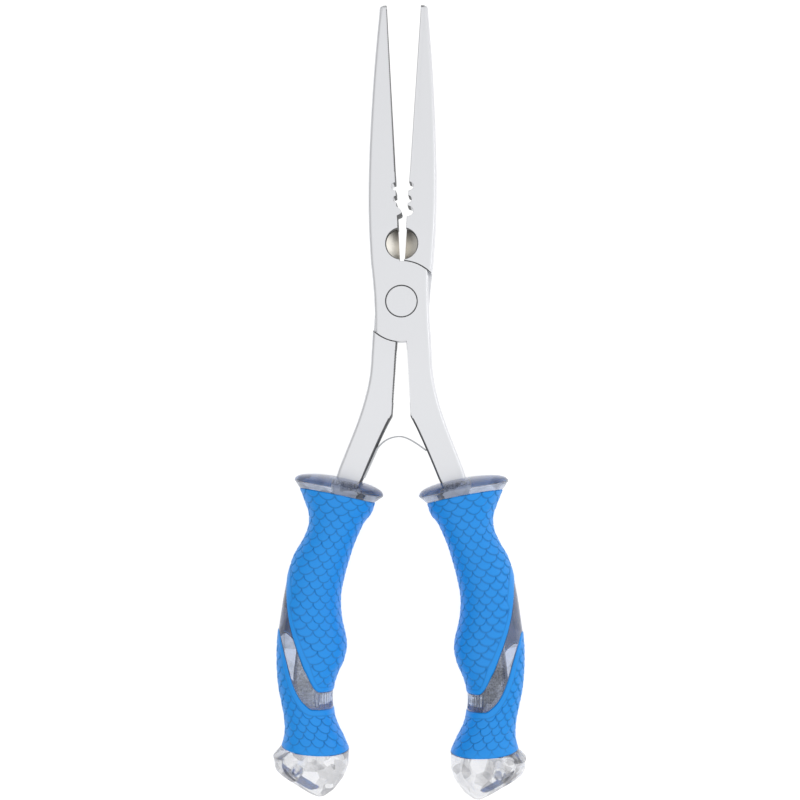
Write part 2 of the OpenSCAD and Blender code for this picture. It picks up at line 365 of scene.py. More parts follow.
def raw_tang(colour):
    """Coarsely blasted steel of the tangs, sparkling and darker."""
    finish = Finish("raw_tang", Metallic=1.0)
    sparkle = finish.grain(0.45, 3.0)
    finish.feed(
        Base_Color=finish.colour(
            scaled(colour, 0.4), scaled(colour, 1.3), finish.between(sparkle, 0.36, 0.66)
        ),
        Roughness=0.3 + 0.3 * sparkle,
    )
    return finish.bump(sparkle, 0.12, 0.9).material


def scaled_rubber(colour):
    """Satin rubber with a fine matt grain, drawn darker with painted shade down in the lines between
    scales.
    """
    finish = Finish("scaled_rubber", Specular_IOR_Level=0.5)
    line = finish.number("ShaderNodeAttribute", {"attribute_name": "line"}, None, "Fac")
    grain = finish.grain(0.16, 2.0)
    cloud = finish.grain(5.0, 2.0)
    # Painted shade: the colour goes darker along the lines between scales and round the border
    share = (1 - line) * (0.86 + 0.14 * cloud)
    finish.feed(
        Base_Color=finish.colour(scaled(colour, 0.58), colour, share),
        Roughness=0.38 + 0.12 * grain + 0.1 * line,
    )
    return finish.bump(grain, 0.02, 0.5).material


def floor_painted_glow(colour):
    """Floor that glows with painted light, brightest round its middle."""
    finish = Finish("floor_painted_glow", Roughness=0.9, Emission_Strength=1.0)
    cloud = finish.grain(60.0)
    out = finish.number("ShaderNodeVectorMath", {"operation": "LENGTH"}, {0: finish.place}, "Value")
    far = finish.between(out, 0.18, 0.6)
    finish.feed(
        Base_Color=finish.colour(scaled(colour, 0.99), scaled(colour, 1.01), cloud),
        # Painted light: the floor glows, most round its middle
        Emission_Color=finish.colour((0.87, 0.87, 0.87), (0.22, 0.22, 0.22), far),
    )
    return finish.material


def material(make, *colours):
    """The material of that maker, made on first use. Where the frame has a material of the same name,
    that flat one is used: so far the steel of the levers and the pin is the frame's."""
    return bpy.data.materials.get(make.__name__) or make(*colours)


# ---------------------------------------------------------------- mesh helpers


def ease(t):
    """Smooth step from 0 to 1."""
    t = np.clip(t, 0, 1)
    return t * t * (3 - 2 * t)


def finished(name, bm, place, *finishes, sharp=32):
    """Makes an object of a bmesh drawn in millimetres, with its place in its mesh."""
    bmesh.ops.transform(bm, matrix=place, verts=bm.verts)
    mesh = bpy.data.meshes.new(name)
    bm.to_mesh(mesh)
    bm.free()
    # A copy of a frame node still holds that node's own normals
    kept = mesh.attributes.get("custom_normal")
    if kept:
        mesh.attributes.remove(kept)
    mesh.shade_smooth()
    mesh.set_sharp_from_angle(angle=math.radians(sharp))
    for finish in finishes:
        mesh.materials.append(finish)
    piece = bpy.data.objects.new(name, mesh)
    bpy.context.scene.collection.objects.link(piece)
    return piece


def applied(piece):
    """Applies the piece's modifiers."""
    graph = bpy.context.evaluated_depsgraph_get()
    mesh = bpy.data.meshes.new_from_object(piece.evaluated_get(graph))
    piece.modifiers.clear()
    piece.data = mesh
    mesh.name = piece.name
    return piece


def cut(piece, tools, finish, sharp=32):
    """Cuts the tools, a bmesh in metres, out of the piece. The new faces take the finish."""
    outward(tools)
    mesh = bpy.data.meshes.new("tools")
    tools.to_mesh(mesh)
    tools.free()
    mesh.materials.append(finish)
    cutter = bpy.data.objects.new("tools", mesh)
    bpy.context.scene.collection.objects.link(cutter)
    boolean = piece.modifiers.new("cut", "BOOLEAN")
    boolean.operation = "DIFFERENCE"
    boolean.solver = "MANIFOLD"
    boolean.material_mode = "TRANSFER"
    boolean.object = cutter
    applied(piece)
    bpy.data.objects.remove(cutter)
    bpy.data.meshes.remove(mesh)
    piece.data.shade_smooth()
    piece.data.set_sharp_from_angle(angle=math.radians(sharp))
    return piece


def placed(bm, place):
    bmesh.ops.transform(bm, matrix=place, verts=bm.verts)
    return bm


def cylinder(bm, radius, low, high, centre=(0, 0), segments=96):
    middle = Matrix.Translation((centre[0], centre[1], (low + high) / 2))
    bmesh.ops.create_cone(
        bm, cap_ends=True, segments=segments, radius1=radius, radius2=radius,
        depth=high - low, matrix=middle,
    )


def outward(bm):
    bmesh.ops.recalc_face_normals(bm, faces=bm.faces)


def closed_copy(node, place):
    """A frame node's mesh, merged, in millimetres in the closed drawing of its half."""
    bm = bmesh.new()
    bm.from_mesh(frame["nodes"][node].data)
    bmesh.ops.transform(bm, matrix=place.inverted(), verts=bm.verts)
    bmesh.ops.remove_doubles(bm, verts=bm.verts, dist=0.002)
    bmesh.ops.dissolve_limit(bm, angle_limit=math.radians(1), verts=bm.verts, edges=bm.edges)
    return bm


def lofted(rings, lines=None):
    """A skin over rings of points, closed at both ends. With lines, the strength of the line at each
    point, its last ring joins the first instead, and it keeps the strengths as an attribute."""
    rows = len(rings) - 1
    sides = len(rings[0])
    bm = bmesh.new()
    bmesh.ops.create_grid(bm, x_segments=sides, y_segments=rows, size=1)
    layer = bm.verts.layers.float.new("line") if lines else None
    for v in bm.verts:
        i = round((v.co.y + 1) / 2 * rows)
        j = round((v.co.x + 1) / 2 * sides) % sides
        v.co = rings[i][j]
        if lines:
            v[layer] = lines[i % rows][j]
    bmesh.ops.remove_doubles(bm, verts=bm.verts, dist=1e-4)
    if not lines:
        bmesh.ops.holes_fill(bm, edges=bm.edges, sides=0)
    outward(bm)
    return bm


# ---------------------------------------------------------------- levers, pin and cutters

JOINT_HALF_T = 5.0
TIP_HALF_T = 1.8
RUNNING_GAP = 0.05
JAW_LEN = 98.0
JAW_ROOT_W = 9.45
JAW_TIP_W = 2.75
JAW_GAP = 0.02
TIP_Y = 97.9
TIP_R = 1.2
SHOULDER_R = 13.1
CHEEK_W = 9.2
WAIST_W = 8.5
ARM_GAP = 0.95
ARM_W = 8.75
ARM_CORNER_Y = -37.6
COLLAR_Y = -57.0
# Below this the lever is seen through the clear handle, if at all
TANG_Y = -63.0
COLLAR_HALF_W = 4.3
TANG_HALF_W = 3.6
TANG_LINE = (
    (13.05, COLLAR_Y), (16, -66), (17.6, -75), (20.6, -84), (22.6, -93),
    (23.3, -103), (22.8, -114), (23.2, -124), (22.5, -134),
)
CUTTER_R = 5.1
CUTTER_Y = 18.8
# Distance of the middle of a cutter past the face of its jaw
CUTTER_X = 1.0
PIN_R = 4.6
# The pin's head stands in a counterbore with an open line round it
HEAD_R = 5.0
COUNTERBORE_R = 5.33
COUNTERBORE_DEPTH = 0.6
# Width of the line round a cutter, and along a shoulder
SEAT_GAP = 0.22
SHOULDER_GAP = 0.32
# Shares of the wide edge radius: hardly broken, chamfered and fully rounded
BROKEN, CHAMFERED, ROUNDED = 0.1, 0.8, 1
# Distances along a lever where its blank is cut across, so that no face has a hole in it
CROSS_CUTS = (TANG_Y, COLLAR_Y, -40, -17, 0, CUTTER_Y, 24)
PIN_RECESS = 0.02
CUTTER_SHRINK = 0.985
# Where the serrations run, along the jaws and between the arms, and their depths
JAW_TOOTH_DEPTH = 0.36
REAR_TOOTH_DEPTH = 0.28
JAW_TEETH = (42.4, 97.0)
REAR_TEETH = (-33.0, -15.6)
REAR_GAP = 0.95


def arc(centre, r, start, end, steps):
    """Points on a circle between two angles in degrees."""
    angles = np.radians(np.linspace(start, end, steps + 1))
    return [Vector((centre[0] + r * math.cos(a), centre[1] + r * math.sin(a))) for a in angles]


def bend(a, b, c, steps):
    """Curve from a to c that leans towards b."""
    a, b, c = Vector(a), Vector(b), Vector(c)
    points = []
    for i in range(steps + 1):
        t = i / steps
        points.append((1 - t) ** 2 * a + 2 * t * (1 - t) * b + t * t * c)
    return points


def notch(y, w, d):
    """Rounded notch in a jaw's inner face."""
    return [Vector((-JAW_GAP - d * math.cos(t), y + w * math.sin(t)))
            for t in np.radians(np.linspace(90, -90, 13))]


def jaw_face(node):
    """Inner face of a jaw from its tip down to the cutter."""
    if node == "front_lever":
        tooth = [(-JAW_GAP, 31.1), (0.95, 30.1), (1.3, 29.7), (1.45, 29.2), (1.4, 28.8), (1.2, 28.5)]
        hook = [Vector(point) for point in tooth] + [Vector((-JAW_GAP, 28))]
        return notch(37.6, 1.3, 1.35) + notch(33.4, 1.05, 1.05) + hook
    return notch(37.7, 1.4, 1.5) + notch(33.4, 1.2, 1.2) + notch(29.5, 1.75, 1.95)


def tang_sides():
    """Outer and inner side of the tang that runs down inside the handle."""
    sides = ([], [])
    for i, point in enumerate(TANG_LINE):
        before = Vector(TANG_LINE[max(i - 1, 0)])
        after = Vector(TANG_LINE[min(i + 1, len(TANG_LINE) - 1)])
        across = (after - before).orthogonal().normalized()
        half_w = COLLAR_HALF_W if i == 0 else TANG_HALF_W
        sides[0].append(Vector(point) + half_w * across)
        sides[1].append(Vector(point) - half_w * across)
    return sides


def lever_outline(node):
    """Outline of a closed lever in sections. Each has its share of the edge radius, which also
    holds for the straight stretch that leads to it. Shares change only at true corners."""
    cheek_y = math.sqrt(SHOULDER_R ** 2 - CHEEK_W ** 2)
    cheek_angle = math.degrees(math.atan2(cheek_y, CHEEK_W))
    arm_angle = math.degrees(math.acos(ARM_GAP / SHOULDER_R))
    outer_side, inner_side = tang_sides()
    # The chord next to a shoulder's corner is longer than the wide edge that runs out there
    corner_chord = 10
    return [
        (jaw_face(node), BROKEN),
        (arc((0, 0), SHOULDER_R, 90, cheek_angle + corner_chord, 20), BROKEN),
        ([Vector((CHEEK_W, cheek_y))], BROKEN),
        (bend((CHEEK_W, cheek_y), (CHEEK_W - 0.5, 0), (ARM_W, -10), 10)[1:], ROUNDED),
        (bend((ARM_W, -21), (ARM_W, -31), (14.1, -46.4), 16), ROUNDED),
        (outer_side, ROUNDED),
        (inner_side[:0:-1], CHAMFERED),
        (bend(inner_side[0], (4, -44), (ARM_GAP, ARM_CORNER_Y), 16), CHAMFERED),
        (arc((0, 0), SHOULDER_R, -arm_angle, cheek_angle + corner_chord - 180, 20), BROKEN),
        ([Vector((-CHEEK_W, -cheek_y))], BROKEN),
        (bend((-CHEEK_W, -cheek_y), (-WAIST_W, 1), (-JAW_ROOT_W + 0.05, 13), 12)[1:], ROUNDED),
        (bend((-JAW_ROOT_W, 22), (-JAW_ROOT_W, 39), (-6.47, 66), 18), ROUNDED),
        (bend((-6.47, 66), (-4.94, 80), (-JAW_TIP_W, JAW_LEN - 3.5), 12)[1:], ROUNDED),
        (arc((-TIP_R - 0.1, TIP_Y - TIP_R), TIP_R, 160, 90, 8), ROUNDED),
        ([Vector((-JAW_GAP, TIP_Y))], ROUNDED),
    ]


def half_thickness(y):
    """Half of a lever's thickness at distance y along it."""
    along = (-150, COLLAR_Y, -40, -17, 24, JAW_LEN + 2)
    return float(np.interp(y, along, (3, 3, 3.5, JOINT_HALF_T, JOINT_HALF_T, TIP_HALF_T)))


def lever_blank(node):
    """Full-thickness lever with soft outer edges, before the joint is cut."""
    bm = bmesh.new()
    weight = bm.edges.layers.float.new("bevel_weight_edge")
    outline = [(point, share) for section, share in lever_outline(node) for point in section]
    rim = [bm.verts.new((point.x, point.y, -1)) for point, share in outline]
    bm.faces.new(rim)
    for i, (_, share) in enumerate(outline):
        edge = bm.edges.get((rim[i - 1], rim[i]))
        edge[weight] = share
    raised = bmesh.ops.extrude_face_region(bm, geom=bm.faces[:], use_keep_orig=True)["geom"]
    lifted = [g for g in raised if isinstance(g, bmesh.types.BMVert)]
    bmesh.ops.translate(bm, vec=(0, 0, 2), verts=lifted)
    for edge in bm.edges:
        if abs(edge.verts[0].co.z - edge.verts[1].co.z) > 1:
            edge[weight] = 0
    for y in CROSS_CUTS:
        everything = bm.verts[:] + bm.edges[:] + bm.faces[:]
        bmesh.ops.bisect_plane(bm, geom=everything, plane_co=(0, y, 0), plane_no=(0, 1, 0))
    for v in bm.verts:
        v.co.z *= half_thickness(v.co.y)
    outward(bm)
    for face in bm.faces:
        x, y = face.calc_center_median()[:2]
        in_jaw = y > CUTTER_Y and x > -0.3 * JAW_TIP_W
        between_arms = ARM_CORNER_Y < y < -SHOULDER_R and x < 1.5 * ARM_GAP
        # Painted shade: the inner walls of the jaws and between the arms take the darker cut steel
        if abs(face.normal.z) < 0.5 and (in_jaw or between_arms):
            face.material_index = 1
        elif y < TANG_Y:
            face.material_index = 2
    return bm


def teeth(place, low, high, pitch, depth, face_x):
    """A row of diamond bars that cut V grooves across a face."""
    bm = bmesh.new()
    count = int((high - low) / pitch)
    for i in range(count):
        bar = Matrix.Translation((face_x, low + (i + 0.5) * pitch, 0))
        bar = bar @ Matrix.Diagonal((depth, 0.48 * pitch, 1, 1))
        bmesh.ops.create_cone(
            bm, cap_ends=True, segments=4, radius1=1, radius2=1, depth=4 * JOINT_HALF_T, matrix=bar
        )
    return placed(bm, place)


def ring(bm, inner, outer, low, high):
    """A washer between two radii."""
    start = len(bm.verts)
    profile = [(inner, low), (outer, low), (outer, high), (inner, high)]
    points = [bm.verts.new((r, 0, z)) for r, z in profile]
    edges = [bm.edges.new((points[i - 1], points[i])) for i in range(4)]
    bmesh.ops.spin(
        bm, geom=points + edges, cent=(0, 0, 0), axis=(0, 0, 1), angle=2 * math.pi, steps=128,
        use_merge=True,
    )
    bmesh.ops.remove_doubles(bm, verts=bm.verts[start:], dist=1e-4)


def grooves(place):
    """Everything that is sunk into a lever's faces: round the pin, the cutter and the shoulders."""
    bm = bmesh.new()
    floor = JOINT_HALF_T - COUNTERBORE_DEPTH
    over = JOINT_HALF_T + 1
    for low, high in ((-over, -floor), (floor, over)):
        cylinder(bm, COUNTERBORE_R, low, high)
        cylinder(bm, CUTTER_R + SEAT_GAP, low, high, (CUTTER_X, CUTTER_Y))
    ring(bm, SHOULDER_R - 1, SHOULDER_R + SHOULDER_GAP, -over, -floor)
    return placed(bm, place)


def darken_arm(piece, place):
    """The rounded inner edge of the arm is left as cut, and takes the darker cut steel as painted
    shade.
    """
    home = place.inverted()
    turn = home.to_3x3().normalized()
    for face in piece.data.polygons:
        if TANG_Y < (home @ face.center).y < ARM_CORNER_Y and (turn @ face.normal).x < -0.3:
            face.material_index = 1


def build_lever(node, body, place, steel, finish, shaded, tang):
    piece = finished(f"{node}_blasted", lever_blank(node), place, finish, shaded, tang)
    bevel = piece.modifiers.new("edges", "BEVEL")
    bevel.limit_method = "WEIGHT"
    bevel.width = steel.edge_round * MM
    bevel.segments = 5
    bevel.use_clamp_overlap = False
    applied(piece)
    darken_arm(piece, place)
    openings = bmesh.new()
    cylinder(openings, SHOULDER_R + 2 * RUNNING_GAP, -2 * JOINT_HALF_T, RUNNING_GAP / 2)
    cut(piece, placed(openings, place), finish)
    # The bores, the lines round the pin, cutter and shoulders, and the serrations take the darker cut
    # steel as painted shade
    bores = bmesh.new()
    cylinder(bores, PIN_R, -2 * JOINT_HALF_T, 2 * JOINT_HALF_T)
    cylinder(bores, CUTTER_R, -2 * JOINT_HALF_T, 2 * JOINT_HALF_T, (CUTTER_X, CUTTER_Y))
    cut(piece, placed(bores, place), shaded)
    cut(piece, grooves(place), shaded)
    cut(piece, teeth(place, *JAW_TEETH, steel.tooth_pitch, JAW_TOOTH_DEPTH, 0), shaded)
    cut(piece, teeth(place, *REAR_TEETH, steel.rear_pitch, REAR_TOOTH_DEPTH, REAR_GAP), shaded)
    even = piece.modifiers.new("even", "WEIGHTED_NORMAL")
    even.keep_sharp = True
    applied(piece)
    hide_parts(node)
    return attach(piece, body)


def build_pin(finish):
    """Riveted pin, turned from its profile."""
    top = JOINT_HALF_T - PIN_RECESS
    shoulder = JOINT_HALF_T - COUNTERBORE_DEPTH
    softened = 0.1
    profile = [
        (0, top), (HEAD_R - softened, top), (HEAD_R, top - softened), (HEAD_R, shoulder),
        (PIN_R - 0.05, shoulder), (PIN_R - 0.05, -shoulder), (HEAD_R, -shoulder),
        (HEAD_R, softened - top), (HEAD_R - softened, -top), (0, -top),
    ]
    bm = bmesh.new()
    points = [bm.verts.new((r, 0, z)) for r, z in profile]
    edges = [bm.edges.new(pair) for pair in zip(points, points[1:])]
    bmesh.ops.spin(
        bm, geom=points + edges, cent=(0, 0, 0), axis=(0, 0, 1), angle=2 * math.pi, steps=96,
        use_merge=True,
    )
    bmesh.ops.remove_doubles(bm, verts=bm.verts, dist=1e-4)
    outward(bm)
    pin = finished("pivot_pin_riveted", bm, FRONT, finish)
    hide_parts("pivot_pin")
    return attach(pin, "front_half")


def build_cutter(node, body, place, finish):
    """Half-round insert with broken edges, a hair smaller than its seat."""
    bm = closed_copy(node, place)
    seat = Matrix.Translation((CUTTER_X, CUTTER_Y, 0))
    shrink = seat @ Matrix.Diagonal((CUTTER_SHRINK, CUTTER_SHRINK, 1, 1)) @ seat.inverted()
    bmesh.ops.transform(bm, matrix=shrink, verts=bm.verts)
    sharp = [e for e in bm.edges if len(e.link_faces) == 2 and e.calc_face_angle() > math.radians(30)]
    bmesh.ops.bevel(
        bm, geom=sharp, offset=0.1, segments=2, profile=0.5, affect="EDGES", material=-1,
        clamp_overlap=True,
    )
    piece = finished(f"{node}_ground", bm, place, finish)
    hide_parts(node)
    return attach(piece, body)


# ---------------------------------------------------------------- leaf spring

SPRING_T = 0.4
SPRING_HALF_W = 2.5


def build_spring(finish):
    """One strip, in millimetres from the pivot in the open place: foot, arch and curled tip."""
    foot_low = Vector(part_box("leaf_spring_foot")[0])
    root = Vector(JOINTS["spring_flex"]["pos_m"])
    foot_end = (Vector((foot_low.x, foot_low.y, root.z)) - PIVOT) / MM
    root = (root - PIVOT) / MM
    tip = Vector((8.15, -48.75, 0))
    top = Vector((-0.4, -44.2, 0))
    shift = Vector((0.25, 0.1, 0))
    line = bend(foot_end + Vector((0.35, 0.2, 0)), (foot_end + root) / 2 + shift, root, 12)[:-1]
    line += bend(root, (-4.9, -44.2, 0), top, 16)[:-1]
    line += bend(top, (2.3, -44.2, 0), tip, 16)
    bm = bmesh.new()
    points = [bm.verts.new((p.x, p.y, -SPRING_HALF_W)) for p in line]
    edges = [bm.edges.new(pair) for pair in zip(points, points[1:])]
    raised = bmesh.ops.extrude_edge_only(bm, edges=edges)["geom"]
    raised = [g for g in raised if isinstance(g, bmesh.types.BMVert)]
    bmesh.ops.translate(bm, vec=(0, 0, 2 * SPRING_HALF_W), verts=raised)
    outward(bm)
    bmesh.ops.solidify(bm, geom=bm.faces, thickness=SPRING_T)
    outward(bm)
    place = Matrix.Translation(PIVOT) @ TO_METRES
    strip = finished("leaf_spring_strip", bm, place, finish, sharp=40)
    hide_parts("leaf_spring_foot", "leaf_spring_arch")
    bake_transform(strip)
    return strip


# ---------------------------------------------------------------- handle surface

# Outside of the grips at stations down the right handle:
# centre x, y, half width, half depth, tilt in degrees
STATIONS = np.array([
    [17.2, -62, 13.4, 11.4, 7.5], [17.2, -64.3, 12.7, 11, 7.5], [16.7, -68.5, 11.1, 9.8, 6.5],
    [17, -72, 9.25, 8.9, 5], [17.8, -76, 8.45, 8.7, 4], [19.2, -80, 8.5, 8.9, 3],
    [21.1, -85, 9.15, 9.2, 2], [22.3, -90, 9.3, 9.4, 1], [23.3, -97, 9.4, 9.5, 0],
    [23.3, -104, 10.1, 9.7, 0], [22.5, -112.5, 11.5, 9.8, 0], [22.7, -118, 11.15, 9.6, 0],
    [23.4, -123, 10, 9.2, 0], [23.5, -128, 9.1, 8.8, 0], [22.7, -133, 8.6, 8.6, 0],
    [21.4, -138, 8.65, 8.7, 0], [19.8, -143, 9.8, 9.3, 0], [19.2, -147.3, 11.2, 10, 0],
    [19.8, -151, 12.2, 10.4, 0],
])
POMMEL = np.array([
    [20.2, -150.8, 12.2, 10.6, 5], [20.8, -152.6, 12, 10.6, 13], [22, -155.4, 10.9, 10.2, 22],
    [23.2, -157.2, 9.8, 9.2, 27], [23.6, -158, 9, 8, 27.5],
])
RIM = (16.8, -61.3, 14.8, 12.5, 7.3)
DOME_H = 3.0
# The clear core reaches a little into the grips that are moulded on it
GRIP_SEAT = 0.75
BOND_INSET = 0.7
WINDOW_INSET = 0.2
GRIP_ROUNDNESS = 2.3
POMMEL_ROUNDNESS = 3.2
POMMEL_HALF_T = 9.4
POMMEL_LEN = 13.0
# Length over which the painted shade fades out into the clear pommel
PAINTED_SHADE_FADE = 4.0
LANYARD = (23.6, -153.0)
LANYARD_R = 2.0
CORE_SIDES = 264
GRIP_SIDES = 320
# Rings along the face of each grip
GRIP_ROWS = {"upper": 260, "lower": 160}


def column(y, k):
    """Smooth value of station column k at distances y down the handle."""
    along = STATIONS[:, 1]
    value = STATIONS[:, k]
    slope = np.empty(len(along))
    slope[1:-1] = (value[2:] - value[:-2]) / (along[2:] - along[:-2])
    slope[0] = (value[1] - value[0]) / (along[1] - along[0])
    slope[-1] = (value[-1] - value[-2]) / (along[-1] - along[-2])
    i = np.clip(np.searchsorted(-along, -y, side="right") - 1, 0, len(along) - 2)
    h = along[i + 1] - along[i]
    t = (y - along[i]) / h
    s = 1 - t
    return (
        s * s * ((1 + 2 * t) * value[i] + t * h * slope[i])
        + t * t * ((3 - 2 * t) * value[i + 1] - s * h * slope[i + 1])
    )


def eased_power(v, n):
    return np.sign(v) * np.abs(v) ** (2 / n)


def section(station, angles, inset, n, flat=100.0):
    """Points round one section: angle 0 is the handle's outer side and 90 degrees its front."""
    x, y, half_w, half_d, tilt = station
    across = (half_w - inset) * eased_power(np.cos(angles), n)
    deep = np.clip((half_d - inset) * eased_power(np.sin(angles), n), -flat, flat)
    tilt = np.radians(tilt)
    return np.stack([x + across * np.cos(tilt), y + across * np.sin(tilt), deep + 0 * x], axis=-1)


def grip_row(y, angles, inset, flat=100.0, n=GRIP_ROUNDNESS):
    """Points round the handle, one at each angle, each at its own distance down the handle."""
    station = (column(y, 0), y, column(y, 2), column(y, 3), column(y, 4))
    return section(station, angles, inset, n, flat)


def turned(count):
    return np.arange(count) * 2 * math.pi / count


def from_outside(angles):
    """Angle from the handle's outer side, in degrees, up to 180."""
    degrees = np.degrees(angles) % 360
    return np.minimum(degrees, 360 - degrees)


def top_edge(angles):
    return -64.3 + 0.8 * np.sin(angles) ** 2


def window_top(angles):
    return -91.5 - 36.5 * np.sin(np.radians(90 * np.minimum(1, from_outside(angles) / 125))) ** 2


def window_bottom(angles):
    return -109 - 24.5 * ease((from_outside(angles) - 15) / 90)


def bottom_edge(angles):
    return -147 - 0.9 * np.sin(angles) ** 2


# ---------------------------------------------------------------- clear cores


def flutes(y, angles):
    """Fine ribs round the inner side of the clear neck."""
    inner = ease((from_outside(angles) - 75) / 40)
    ends = ease((window_top(angles) - y) / 0.8) * ease((y - window_bottom(angles)) / 0.8)
    return 0.28 * inner * ends * (0.5 + 0.5 * np.cos(44 * angles))


def core_rings():
    """Rings of the clear moulding from the middle of its dome to the end of its pommel."""
    angles = turned(CORE_SIDES)
    rings = []
    tilt = math.radians(RIM[4])
    for rise in np.linspace(88, 6, 15):
        up = DOME_H * math.sin(math.radians(rise))
        out = 0.98 * math.cos(math.radians(rise))
        centre = (RIM[0] - up * math.sin(tilt), RIM[1] + up * math.cos(tilt))
        rings.append(section((*centre, RIM[2] * out, RIM[3] * out, RIM[4]), angles, 0, 2))
    # Crisp rim, then the underside down to the grip
    for drop, inset in ((0.0, 0.2), (0.04, 0.06), (0.15, 0.0), (0.8, 0.0), (0.95, 0.1), (1.3, 0.5)):
        station = (RIM[0] + 0.12 * drop, RIM[1] - drop, RIM[2], RIM[3], RIM[4])
        rings.append(section(station, angles, inset, 2 + 0.08 * drop))
    top = top_edge(angles)
    rings.append((rings[-1] + grip_row(top, angles, 0)) / 2)
    rings.append(grip_row(top, angles, 0.02))
    edges = (top, window_top(angles), window_bottom(angles), bottom_edge(angles))
    for band, (steps, inset) in enumerate(((24, BOND_INSET), (26, WINDOW_INSET), (14, BOND_INSET))):
        for share in np.linspace(0.004, 0.996, steps):
            y = edges[band] + (edges[band + 1] - edges[band]) * share
            ribs = flutes(y, angles) if inset == WINDOW_INSET else 0
            rings.append(grip_row(y, angles, inset + ribs))
    rings.append(grip_row(edges[3] - 0.02, angles, 0.02, POMMEL_HALF_T))
    for above, below in zip(POMMEL, POMMEL[1:]):
        for share in np.linspace(0, 1, 5)[:-1]:
            station = above + (below - above) * share
            rings.append(section(station, angles, 0, POMMEL_ROUNDNESS, POMMEL_HALF_T))
    end = POMMEL[-1]
    for shrink in (0.0, 0.25, 0.7, 3.0):
        drop = 0.12 * math.sqrt(shrink)
        station = (end[0] + 0.5 * drop, end[1] - drop, end[2], end[3], end[4])
        rings.append(section(station, angles, shrink, POMMEL_ROUNDNESS))
    return rings


def build_core(body, place, side, finish):
    bm = lofted(core_rings())
    core = finished(f"{side}_core_clear", bm, place, finish, sharp=38)
    bore = bmesh.new()
    cylinder(bore, LANYARD_R, -2 * POMMEL_HALF_T, 2 * POMMEL_HALF_T, LANYARD, segments=64)
    bmesh.ops.transform(bore, matrix=place, verts=bore.verts)
    cut(core, bore, finish, sharp=38)
    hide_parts(f"{side}_handle_core")
    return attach(core, body)


# ---------------------------------------------------------------- grips


def scale_pattern(round_share, y, handle):
    """Height of overlapping round scales, from 0 to 1 at their free edges, and the line below
    each free edge, from 0 to 1."""
    row = handle.scale_row
    tail = np.full(np.shape(y), -1e9)
    nearest = np.full(np.shape(y), 1e9)
    first = np.floor(y / row)
    for step in range(-1, 4):
        k = first + step
        column_at = round_share * handle.scale_columns + 0.5 * (k % 2)
        across = 2 * (column_at - np.floor(column_at)) - 1
        edge = k * row - row * np.sqrt(1 - across ** 2)
        tail = np.where((edge <= y) & (edge > tail), edge, tail)
        # Distance from the round edge, as from a circle
        out = np.hypot(across * row, np.minimum(y - k * row, 0))
        away = np.where(y < k * row + 0.1, np.abs(out - row), 1e9)
        nearest = np.minimum(nearest, away)
    height = 1 - np.clip((y - tail) / (2 * row), 0, 1)
    line = np.exp(-((nearest / handle.line_half_w) ** 2))
    return height, line


def edge_distance(y, edge, angles, spacing):
    """Distance from the window's edge, square to it."""
    slope = np.gradient(edge) / spacing
    return np.abs(y - edge) / np.sqrt(1 + np.minimum(slope ** 2, 30))


def grip_rings(band, rows, handle):
    """Rings of one grip, out along its scaled face and back along its smooth inside."""
    angles = turned(GRIP_SIDES)
    upper = band == "upper"
    start = top_edge(angles) if upper else window_bottom(angles)
    end = window_top(angles) if upper else bottom_edge(angles)
    border = end if upper else start
    rings, lines = [], []
    shares = np.concatenate([[0, 0.0015, 0.004], np.linspace(0.008, 0.992, rows), [0.996, 0.9985, 1]])
    for share in shares:
        y = start + (end - start) * share
        smooth = grip_row(y, angles, 0)
        gaps = np.linalg.norm(np.roll(smooth[:, [0, 2]], -1, axis=0) - smooth[:, [0, 2]], axis=1)
        round_share = (np.cumsum(gaps) - gaps / 2) / gaps.sum()
        away = edge_distance(y, border, angles, gaps.mean())
        width = handle.band + (1.6 * ease((y + 101) / 3) if upper else 0.2)
        height, line = scale_pattern(round_share, y, handle)
        rim = np.exp(-(((away - width) / handle.line_half_w) ** 2))
        in_scales = ease((away - width) / 0.2)
        height = 1 - in_scales * (1 - height)
        line = np.maximum(in_scales * line, 0.6 * rim)
        if not upper:
            fade = ease((y - end) / 3.5)
            height = 1 - fade * (1 - height)
            line = line * (0.15 + 0.85 * fade)
        near_end = np.minimum(np.abs(y - start), np.abs(y - end))
        rolled = 0.45 * (1 - ease(np.minimum(near_end, away) / 0.5)) ** 2
        inset = handle.scale_depth * (1 - height) + handle.line_depth * line + rolled
        rings.append(grip_row(y, angles, np.minimum(inset, GRIP_SEAT - 0.05)))
        lines.append(line)
    for share in np.linspace(1, 0, 20):
        y = start + (end - start) * share
        rings.append(grip_row(y, angles, GRIP_SEAT))
        lines.append(np.zeros(GRIP_SIDES))
    rings.append(rings[0])
    return rings, lines


def build_grip(band, rows, body, place, side, handle, finish):
    bm = lofted(*grip_rings(band, rows, handle))
    grip = finished(f"{side}_{band}_grip_scaled", bm, place, finish, sharp=60)
    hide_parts(f"{side}_{band}_grip")
    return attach(grip, body)


# ---------------------------------------------------------------- stage


FLOOR_HALF = 1500.0


def build_floor(stage):
    bm = bmesh.new()
    bmesh.ops.create_grid(bm, x_segments=1, y_segments=1, size=FLOOR_HALF)
    floor = finished("floor", bm, TO_METRES, material(floor_painted_glow, stage.floor))


def build_light(name, power, size, place, target):
    data = bpy.data.lights.new(name, "AREA")
    data.energy = power
    data.shape = "SQUARE"
    data.size = size
    light = bpy.data.objects.new(name, data)
    light.location = place
    light.rotation_euler = (Vector(target) - Vector(place)).to_track_quat("-Z", "Y").to_euler()
    bpy.context.scene.collection.objects.link(light)


